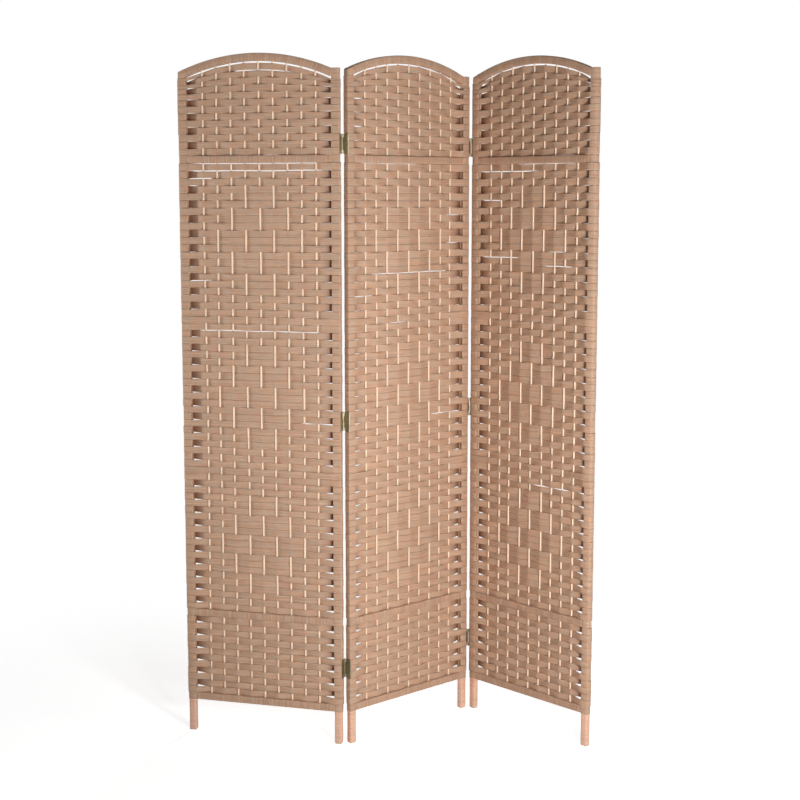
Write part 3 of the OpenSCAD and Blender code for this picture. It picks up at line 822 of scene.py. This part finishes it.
def arch_windings(panel, place, material):
    s = sizes()
    bm = bmesh.new()
    radius, middle, centre = arch_circle()
    line = radius - s.arch_d / 2
    left_end = math.asin((ARCH_INSET - middle) / radius)
    right_end = math.asin((s.panel_w - s.ring_w - middle) / line)
    turns = round((right_end - left_end) * radius / cords().turn_pitch)
    half_y = bar_half_t()

    def put(along, a, b):
        angle = left_end + (right_end - left_end) * along
        out = line + b
        x = middle + out * np.sin(angle)
        on_post = np.clip((s.ring_w + FLARE_START - x) / FLARE_LENGTH, 0, 1)
        wide = a * (1 + smooth(on_post) * ARCH_FLARE / half_y)
        return np.column_stack([x, s.panel_t / 2 + wide, centre + out * np.cos(angle)])

    wound_tube(bm, turns, (half_y, s.arch_d / 2), BAR_SECTION, put, first=0, seed=ARCH_DRAW)
    return closed_piece(f"{panel}_panel_arch_turns", bm, place, material)


def post_spans(side):
    """Heights of the turns on a post beside the rails and under its top."""
    s, c = sizes(), cords()
    top_low = float(top_edge(TOP_ROWS, np.array([side * s.panel_w]))[0]) + c.row_gap
    post_top = s.panel_h - s.arch_rise - (1 - side) * LEFT_POST_DROP
    return [(low, low + s.rail_h) for low in rail_heights()] + [(top_low, post_top)]


def post_windings(panel, place, material):
    s = sizes()
    bm = bmesh.new()
    for side in range(2):
        for n, (low, high) in enumerate(post_spans(side)):
            turns = max(2, round((high - low) / cords().turn_pitch))
            wound_tube(bm, turns, (s.ring_w / 2, s.panel_t / 2), POST_SECTION, up_a_post(side, low, high),
                       first=SPAN_SHIFT * n, seed=POST_DRAW + n + SIDE_DRAW * side)
    return closed_piece(f"{panel}_panel_post_turns", bm, place, material)


def foot_windings(panel, place, material):
    s, c = sizes(), cords()
    bm = bmesh.new()
    turns = round((s.foot_h - s.foot_tip) / c.turn_pitch)
    thin = c.cord_t - c.foot_t
    for side in range(2):
        wound_tube(bm, turns, (s.ring_w / 2 - thin, s.panel_t / 2 - thin), FOOT_SECTION,
                   up_a_post(side, s.foot_tip, s.foot_h), first=0, seed=FOOT_DRAW + side)
    return closed_piece(f"{panel}_panel_foot_turns", bm, place, material)


# Stakes

def stake_set(panel, place, material):
    s, fine_t = sizes(), cords().fine_t
    bm = bmesh.new()
    mesh, station, turn = straight_tube(STAKE_STATIONS, STAKE_RING)
    corner = turn // 2
    sign_x = np.where((corner == 0) | (corner == 3), 1, -1)
    sign_y = np.where(corner < 2, 1, -1)
    on_side = (turn % 2 == 0) == ((corner == 0) | (corner == 2))
    wide, slim = s.stake_w / 2, s.stake_t / 2
    dx = np.where(on_side, wide, wide - STAKE_CHAMFER) * sign_x
    dy = np.where(on_side, slim - STAKE_CHAMFER, slim) * sign_y
    radius, middle, centre = arch_circle()
    wood_inside = radius - s.arch_d + fine_t
    low = s.foot_h + s.rail_h - fine_t - s.stake_seat
    for stake in range(1, STAKES + 1):
        off = s.panel_w / 2 + (stake - MIDDLE_STAKE) * s.stake_pitch - middle
        high = centre + math.sqrt(wood_inside ** 2 - off ** 2) + s.stake_seat
        z = low + (high - low) * station / (STAKE_STATIONS - 1)
        points = np.column_stack([stake_x(panel, stake, z) + dx, s.panel_t / 2 + dy, z])
        lay(bm, mesh, points, cord=np.column_stack([z, turn / STAKE_RING + stake]))
    bpy.data.meshes.remove(mesh)
    return closed_piece(f"{panel}_panel_stake_set", bm, place, material, smooth=False)


# Node helpers

def node(tree, kind, source=None, **values):
    """A new node with its values set and its first input linked, if a source is given."""
    new = tree.nodes.new(kind)
    for key, value in values.items():
        if hasattr(new, key):
            setattr(new, key, value)
        else:
            new.inputs[key.replace("_", " ")].default_value = value
    if source is not None:
        tree.links.new(source, new.inputs[0])
    return new


def math_node(tree, operation, *values, clamp=False):
    new = tree.nodes.new("ShaderNodeMath")
    new.operation = operation
    new.use_clamp = clamp
    for socket, value in zip(new.inputs, values):
        if isinstance(value, (int, float)):
            socket.default_value = value
        else:
            tree.links.new(value, socket)
    return new.outputs[0]


def times(tree, a, b):
    return math_node(tree, "MULTIPLY", a, b)


def plus(tree, a, b, clamp=False):
    return math_node(tree, "ADD", a, b, clamp=clamp)


def about(tree, value, middle, factor, clamp=False):
    """How far a value lies from its middle, times a factor."""
    return math_node(tree, "MULTIPLY", math_node(tree, "SUBTRACT", value, middle), factor, clamp=clamp)


def combine(tree, *sources):
    """A vector from the sources of its X, Y and Z."""
    new = tree.nodes.new("ShaderNodeCombineXYZ")
    for socket, source in zip(new.inputs, sources):
        tree.links.new(source, socket)
    return new.outputs[0]


def group(name, inputs, outputs):
    """A shader node group with named sockets, and its input and output nodes."""
    tree = bpy.data.node_groups.new(name, "ShaderNodeTree")
    for label, kind, value in inputs:
        socket = tree.interface.new_socket(label, in_out="INPUT", socket_type=kind)
        if value is not None:
            socket.default_value = value
    for label, kind in outputs:
        tree.interface.new_socket(label, in_out="OUTPUT", socket_type=kind)
    return tree, tree.nodes.new("NodeGroupInput"), tree.nodes.new("NodeGroupOutput")


def mix_colour(tree, factor, a, b, blend_type="MIX"):
    new = tree.nodes.new("ShaderNodeMix")
    new.data_type = "RGBA"
    new.blend_type = blend_type
    for socket, value in ((new.inputs[0], factor), (new.inputs[6], a), (new.inputs[7], b)):
        if isinstance(value, (int, float)):
            socket.default_value = value
        elif isinstance(value, bpy.types.NodeSocket):
            tree.links.new(value, socket)
        else:
            socket.default_value = (*value, 1)
    return new.outputs[2]


def cord_group():
    """Twisted paper cord: tone with painted light and shade on its twist, warmth, a groove mask for
    painted shade, and height from the cord coordinates.
    """
    tree, given, result = group(
        "Twisted Cord",
        [("Cord", VECTOR, None), ("Twist Pitch", NUMBER, TWIST_PITCH), ("Tone Spread", NUMBER, 0.5)],
        [("Tone", NUMBER), ("Warmth", NUMBER), ("Groove", NUMBER), ("Height", NUMBER)],
    )
    parts = node(tree, "ShaderNodeSeparateXYZ", given.outputs["Cord"])
    along, across = parts.outputs[0], parts.outputs[1]
    fraction = math_node(tree, "FRACT", across)
    off_middle = math_node(tree, "ABSOLUTE", math_node(tree, "SUBTRACT", fraction, 0.5))
    groove = math_node(tree, "POWER", times(tree, off_middle, 2), GROOVE_POWER)

    slant = times(tree, fraction, TWIST_SLANT)
    turns = plus(tree, math_node(tree, "DIVIDE", along, given.outputs["Twist Pitch"]), slant)
    ridge = math_node(tree, "SINE", times(tree, turns, 2 * math.pi))

    cell_start = math_node(tree, "FLOOR", times(tree, along, CELLS))
    cell = combine(tree, math_node(tree, "FLOOR", across), cell_start)
    chance = node(tree, "ShaderNodeTexWhiteNoise", cell, noise_dimensions="3D")
    stretched = combine(tree, times(tree, along, STREAKS[0]), times(tree, across, STREAKS[1]))
    streak = node(tree, "ShaderNodeTexNoise", stretched, Scale=1.0, Detail=3.0, Roughness=0.6)
    cell_tone = about(tree, chance.outputs[0], 0.5, CELL_TONE)
    tone = plus(tree, cell_tone, about(tree, streak.outputs[0], 0.5, STREAK_TONE))
    # Painted light and shade: the twist's ridges are lighter and its hollows darker
    tone = plus(tree, tone, times(tree, ridge, RIDGE_SHADING))

    spread = combine(tree, times(tree, along, PATCHES[0]), times(tree, across, PATCHES[1]))
    patch = node(tree, "ShaderNodeTexNoise", spread, Scale=1.0, Detail=1.0)
    warmth = about(tree, patch.outputs[0], PATCH_FROM, PATCH_RATE, clamp=True)
    ridge_height, groove_height = times(tree, ridge, RIDGE_HEIGHT), times(tree, groove, GROOVE_HEIGHT)
    height = math_node(tree, "SUBTRACT", ridge_height, groove_height)
    tree.links.new(times(tree, tone, given.outputs["Tone Spread"]), result.inputs["Tone"])
    tree.links.new(warmth, result.inputs["Warmth"])
    tree.links.new(groove, result.inputs["Groove"])
    tree.links.new(height, result.inputs["Height"])
    return tree


def placed_group(tree, material, **values):
    new = material.node_tree.nodes.new("ShaderNodeGroup")
    new.node_tree = tree
    for key, value in values.items():
        new.inputs[key.replace("_", " ")].default_value = value
    return new


def new_material(name, roughness, metallic=0.0):
    material = bpy.data.materials.new(name)
    material.use_nodes = True
    shader = material.node_tree.nodes["Principled BSDF"]
    shader.inputs["Roughness"].default_value = roughness
    shader.inputs["Metallic"].default_value = metallic
    return material, material.node_tree, shader


def scaled(colour, factors):
    """A colour times one factor, or one factor for each channel."""
    factors = factors if isinstance(factors, tuple) else (factors,) * 3
    return tuple(channel * factor for channel, factor in zip(colour, factors))


def add_bumps(tree, shader, height, strength, distance):
    bumps = node(tree, "ShaderNodeBump", Strength=strength, Distance=distance)
    tree.links.new(height, bumps.inputs["Height"])
    tree.links.new(bumps.outputs[0], shader.inputs["Normal"])


def cord_material(name, twist, colour, spread, groove_shade, bump, painted_pocket_shade=None):
    material, tree, shader = new_material(name, CORD_ROUGHNESS)
    shader.inputs["Specular IOR Level"].default_value = CORD_SHINE
    uv = node(tree, "ShaderNodeUVMap", uv_map="cord")
    cord = placed_group(twist, material, Tone_Spread=spread)
    tree.links.new(uv.outputs[0], cord.inputs["Cord"])
    share = plus(tree, cord.outputs["Tone"], 0.5, clamp=True)
    base = mix_colour(tree, cord.outputs["Warmth"], scaled(colour, GREY_CAST), scaled(colour, RUDDY_CAST))
    tint = mix_colour(tree, 1.0, mix_colour(tree, share, DARK_TONE, PALE_TONE), base, "MULTIPLY")
    # Painted shade in the grooves between cords
    shade = times(tree, cord.outputs["Groove"], groove_shade)
    dark = mix_colour(tree, shade, tint, scaled(colour, GROOVE_SHADE_TONE))
    # Painted shade: the cord in the pockets beside the posts is multiplied by the pocket shade colour
    if painted_pocket_shade:
        inner = node(tree, "ShaderNodeUVMap", uv_map="pocket")
        depth = node(tree, "ShaderNodeSeparateXYZ", inner.outputs[0]).outputs[0]
        dark = mix_colour(tree, depth, dark, mix_colour(tree, 1.0, dark, painted_pocket_shade, "MULTIPLY"))
    tree.links.new(dark, shader.inputs["Base Color"])
    add_bumps(tree, shader, cord.outputs["Height"], bump, CORD_BUMP)
    return material


def grain_group():
    """Straight grain along the height, with fine pores."""
    tree, given, result = group(
        "Straight Grain",
        [("Place", VECTOR, None), ("Along Scale", NUMBER, 4.0), ("Across Scale", NUMBER, 260.0)],
        [("Tone", NUMBER), ("Height", NUMBER)],
    )
    parts = node(tree, "ShaderNodeSeparateXYZ", given.outputs["Place"])
    scales = zip(parts.outputs, ("Across Scale", "Across Scale", "Along Scale"))
    grain = combine(tree, *(times(tree, part, given.outputs[scale]) for part, scale in scales))
    noise = node(tree, "ShaderNodeTexNoise", grain, Scale=1.0, Detail=4.0, Roughness=0.55)
    tree.links.new(math_node(tree, "SUBTRACT", noise.outputs[0], 0.5), result.inputs["Tone"])
    tree.links.new(noise.outputs[0], result.inputs["Height"])
    return tree


def wood_material(name, grain, colour, roughness):
    material, tree, shader = new_material(name, roughness)
    coords = node(tree, "ShaderNodeTexCoord")
    lines = placed_group(grain, material)
    tree.links.new(coords.outputs["Object"], lines.inputs["Place"])
    share = plus(tree, times(tree, lines.outputs["Tone"], GRAIN_CONTRAST), 0.5, clamp=True)
    base = mix_colour(tree, share, scaled(colour, DARK_WOOD), scaled(colour, PALE_WOOD))
    tree.links.new(base, shader.inputs["Base Color"])
    add_bumps(tree, shader, lines.outputs["Height"], WOOD_BUMPS, FINE_BUMP)
    return material


def wear_group():
    """Patches of dull tarnish and fine scratches on metal."""
    tree, given, result = group(
        "Dull Tarnish", [("Place", VECTOR, None), ("Scale", NUMBER, 90.0)],
        [("Tarnish", NUMBER), ("Scratch", NUMBER)],
    )
    broad = node(tree, "ShaderNodeTexNoise", given.outputs["Place"], Detail=4.0, Roughness=0.6)
    tree.links.new(given.outputs["Scale"], broad.inputs["Scale"])
    fine = node(tree, "ShaderNodeTexNoise", given.outputs["Place"], Scale=SCRATCH_SCALE, Detail=2.0)
    tarnish = about(tree, broad.outputs[0], TARNISH_FROM, TARNISH_RATE, clamp=True)
    tree.links.new(tarnish, result.inputs["Tarnish"])
    tree.links.new(fine.outputs[0], result.inputs["Scratch"])
    return tree


def metal_material(name, wear, colour, clean, dull):
    """Metal whose roughness goes from clean to dull where it is tarnished."""
    material, tree, shader = new_material(name, clean, 1.0)
    coords = node(tree, "ShaderNodeTexCoord")
    spots = placed_group(wear, material)
    tree.links.new(coords.outputs["Object"], spots.inputs["Place"])
    base = mix_colour(tree, spots.outputs["Tarnish"], colour, scaled(colour, TARNISHED))
    tree.links.new(base, shader.inputs["Base Color"])
    rough = plus(tree, times(tree, spots.outputs["Tarnish"], dull - clean), clean)
    tree.links.new(rough, shader.inputs["Roughness"])
    add_bumps(tree, shader, spots.outputs["Scratch"], METAL_BUMPS, FINE_BUMP)
    return material


def shared(kind, name, make):
    """The node group or material of that name, made once."""
    return kind.get(name) or make()


def cord_twist():
    return shared(bpy.data.node_groups, "Twisted Cord", cord_group)


def give(nodes, material):
    for name in nodes:
        piece = frame["nodes"][name]
        piece.data.materials.clear()
        piece.data.materials.append(material)


class WovenBands(bpy.types.Operator):
    """Weave the flat bands of paper cord through the stakes"""

    bl_idname = "folding_screen.woven_bands"
    bl_label = "Woven Bands"

    def execute(self, context):
        c = cords()
        material = cord_material("Band Cord", cord_twist(), c.band_colour, spread=0.6, groove_shade=0.3,
                                 bump=0.35, painted_pocket_shade=tuple(c.pocket_shade_colour))
        for panel, place in panel_matrices().items():
            for part, rows in PARTS.items():
                piece = weave(panel, part, range(1, rows + 1), place, material)
                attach(piece, f"{panel}_panel")
                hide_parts(f"{panel}_panel_{part}_weave")
        return {"FINISHED"}


class RailAndArchTurns(bpy.types.Operator):
    """Wind fine cord on the rails and the arches"""

    bl_idname = "folding_screen.rail_and_arch_turns"
    bl_label = "Rail and Arch Turns"

    def execute(self, context):
        material = cord_material("Wound Cord", cord_twist(), cords().winding_colour, spread=0.8,
                                 groove_shade=0.75, bump=0.5)
        for panel, place in panel_matrices().items():
            for make, replaced in ((rail_windings, "rail_windings"), (arch_windings, "arch_winding")):
                piece = make(panel, place, material)
                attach(piece, f"{panel}_panel")
                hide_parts(f"{panel}_panel_{replaced}")
        return {"FINISHED"}


class PostTurns(bpy.types.Operator):
    """Wind cord on the posts and the feet"""

    bl_idname = "folding_screen.post_turns"
    bl_label = "Post and Foot Turns"

    def execute(self, context):
        c = cords()
        post_cord = cord_material("Post Cord", cord_twist(), c.band_colour, spread=0.8, groove_shade=0.5,
                                  bump=0.4)
        foot_cord = cord_material("Foot Cord", cord_twist(), c.foot_colour, spread=0.6, groove_shade=0.6,
                                  bump=0.35)
        for panel, place in panel_matrices().items():
            for make, material in ((post_windings, post_cord), (foot_windings, foot_cord)):
                piece = make(panel, place, material)
                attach(piece, f"{panel}_panel")
                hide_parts(f"{panel}_panel_post_windings")
        return {"FINISHED"}


class StakeSets(bpy.types.Operator):
    """Set the pale stakes, each a little bowed"""

    bl_idname = "folding_screen.stake_sets"
    bl_label = "Stakes"

    def execute(self, context):
        grain = shared(bpy.data.node_groups, "Straight Grain", grain_group)
        material = wood_material("Stake Wood", grain, hard().stake, roughness=0.6)
        for panel, place in panel_matrices().items():
            piece = stake_set(panel, place, material)
            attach(piece, f"{panel}_panel")
            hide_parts(f"{panel}_panel_stakes")
        return {"FINISHED"}


class FrameFinish(bpy.types.Operator):
    """Give posts, rails, arches, laths and dowels their wood"""

    bl_idname = "folding_screen.frame_finish"
    bl_label = "Frame Finish"

    def execute(self, context):
        grain = shared(bpy.data.node_groups, "Straight Grain", grain_group)
        material = wood_material("Frame Wood", grain, hard().wood, roughness=0.55)
        parts = ["left_post", "right_post", "arch", "upper_rail", "lower_rail", "bottom_rail", "laths",
                 "dowels"]
        give([f"{panel}_panel_{part}" for panel in PANELS for part in parts], material)
        return {"FINISHED"}


class HingeFinish(bpy.types.Operator):
    """Give the hinges their worn brass and steel"""

    bl_idname = "folding_screen.hinge_finish"
    bl_label = "Hinge Finish"

    def execute(self, context):
        wear = shared(bpy.data.node_groups, "Dull Tarnish", wear_group)
        brass = metal_material("Worn Brass", wear, hard().brass, clean=0.32, dull=0.6)
        steel = metal_material("Dull Steel", wear, hard().steel, clean=0.3, dull=0.55)
        for line in ("left", "right"):
            for parts, metal in (
                (("middle_leaves", "outer_leaves", "links"), brass),
                (("front_pins", "back_pins", "middle_screws", "outer_screws"), steel),
            ):
                give([f"{line}_line_{part}" for part in parts], metal)
        return {"FINISHED"}


def stand(lamp, place, target):
    """Puts a lamp at its place, turned to its target."""
    rig = bpy.data.objects.new(lamp.name, lamp)
    rig.location = place
    rig.rotation_euler = (Vector(target) - Vector(place)).to_track_quat("-Z", "Y").to_euler()
    bpy.context.scene.collection.objects.link(rig)


def area_lamp(name, place, target, size, power):
    lamp = bpy.data.lights.new(name, "AREA")
    lamp.shape = "DISK"
    lamp.size = size
    lamp.energy = power
    stand(lamp, place, target)


def spot_lamp(name, place, target, spread, power):
    lamp = bpy.data.lights.new(name, "SPOT")
    lamp.spot_size = spread
    lamp.spot_blend = 1.0
    lamp.shadow_soft_size = SPOT_RADIUS
    lamp.energy = power
    stand(lamp, place, target)


def blend_shaders(tree, factor, first, second):
    new = node(tree, "ShaderNodeMixShader", factor)
    tree.links.new(first, new.inputs[1])
    tree.links.new(second, new.inputs[2])
    return new.outputs[0]


def floor_material():
    """A pale floor with the shadow near the screen, and plain white to the camera further off."""
    material, tree, shader = new_material("Pale Floor", FLOOR_ROUGHNESS)
    shader.inputs["Base Color"].default_value = FLOOR_TONE
    white = node(tree, "ShaderNodeEmission", Color=WHITE, Strength=1.0)
    lift = node(tree, "ShaderNodeEmission", Color=WHITE, Strength=FLOOR_LIFT)
    lit = node(tree, "ShaderNodeAddShader", shader.outputs[0])
    tree.links.new(lift.outputs[0], lit.inputs[1])
    coords = node(tree, "ShaderNodeTexCoord")
    reach = node(tree, "ShaderNodeVectorMath", coords.outputs["Object"], operation="LENGTH")
    far = node(tree, "ShaderNodeMapRange", reach.outputs["Value"], From_Min=WHITE_FROM, From_Max=WHITE_AT,
               interpolation_type="SMOOTHSTEP")
    seen = node(tree, "ShaderNodeLightPath").outputs["Is Camera Ray"]
    ground = blend_shaders(tree, seen, shader.outputs[0], lit.outputs[0])
    surface = blend_shaders(tree, times(tree, far.outputs[0], seen), ground, white.outputs[0])
    tree.links.new(surface, tree.nodes["Material Output"].inputs[0])
    return material


def studio_world(strength):
    """A weak even light that the camera and glossy or clear finishes see as plain white."""
    world = bpy.data.worlds.new("Studio")
    world.use_nodes = True
    tree = world.node_tree
    back = tree.nodes["Background"]
    back.inputs[0].default_value = WHITE
    rays = node(tree, "ShaderNodeLightPath").outputs
    mirrored = math_node(tree, "MAXIMUM", rays["Is Glossy Ray"], rays["Is Transmission Ray"])
    seen = math_node(tree, "MAXIMUM", rays["Is Camera Ray"], mirrored)
    tree.links.new(plus(tree, times(tree, seen, 1 - strength), strength), back.inputs["Strength"])
    return world


def photo_camera(looks):
    """The camera at the photo's viewing angle, placed from the middle panel's front left corner."""
    corner = panel_matrices()["middle"].translation
    camera = bpy.data.cameras.new("camera")
    camera.sensor_width = SENSOR_WIDTH
    camera.lens = looks.lens
    camera.clip_end = VIEW_REACH
    rig = bpy.data.objects.new("camera", camera)
    rig.location = (corner.x + looks.eye[0], corner.y + looks.eye[1], looks.eye[2])
    rig.rotation_euler = (math.pi / 2 - looks.pitch, 0, 0)
    bpy.context.scene.collection.objects.link(rig)
    return rig


class Stage(bpy.types.Operator):
    """Set the floor, the lamps, the white background and the camera"""

    bl_idname = "folding_screen.stage"
    bl_label = "Stage"

    def execute(self, context):
        looks = context.scene.screen_stage
        bm = bmesh.new()
        bmesh.ops.create_circle(bm, cap_ends=True, segments=FLOOR_SIDES, radius=FLOOR_RADIUS)
        drop = Matrix.Translation((0, 0, -FLOOR_DROP))
        floor = new_piece("floor", bm, drop, floor_material(), smooth=False)
        floor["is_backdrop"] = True
        context.scene.world = studio_world(looks.sky)
        for name, (place, size) in LAMPS.items():
            area_lamp(f"{name}_lamp", place, LAMP_TARGET, size, getattr(looks, name))
        spot_lamp("grazing_lamp", SPOT_PLACE, SPOT_TARGET, SPOT_SPREAD, looks.graze)
        context.scene.camera = photo_camera(looks)
        context.scene.view_settings.view_transform = "Standard"
        return {"FINISHED"}


GROUPS = {
    "screen_sizes": ScreenSizes, "screen_cords": CordLooks,
    "screen_hard": HardLooks, "screen_stage": StageLooks,
}
STEPS = [WovenBands, RailAndArchTurns, PostTurns, StakeSets, FrameFinish, HingeFinish, Stage]


class ScreenPanel(bpy.types.Panel):
    """Sizes, looks and steps of the folding screen"""

    bl_idname = "VIEW3D_PT_folding_screen"
    bl_label = "Folding Screen"
    bl_space_type = "VIEW_3D"
    bl_region_type = "UI"
    bl_category = "Screen"

    def draw(self, context):
        for name, kind in GROUPS.items():
            box = self.layout.box()
            box.label(text=kind.__doc__)
            for key in kind.__annotations__:
                box.prop(getattr(context.scene, name), key)
        for step in STEPS:
            self.layout.operator(step.bl_idname)


def register():
    for kind in (*GROUPS.values(), *STEPS, ScreenPanel):
        bpy.utils.register_class(kind)
    for name, kind in GROUPS.items():
        setattr(bpy.types.Scene, name, PointerProperty(type=kind))


def unregister():
    for name in GROUPS:
        delattr(bpy.types.Scene, name)
    for kind in reversed((*GROUPS.values(), *STEPS, ScreenPanel)):
        bpy.utils.unregister_class(kind)


def main():
    register()
    steps = bpy.ops.folding_screen
    steps.woven_bands()
    steps.rail_and_arch_turns()
    steps.post_turns()
    steps.stake_sets()
    steps.frame_finish()
    steps.hinge_finish()
    steps.stage()
    boxes = {"cad": cad_box, "visual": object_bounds()}
    boxes = {name: [list(corner) for corner in box] for name, box in boxes.items()}


if __name__ == "__main__":
    main()
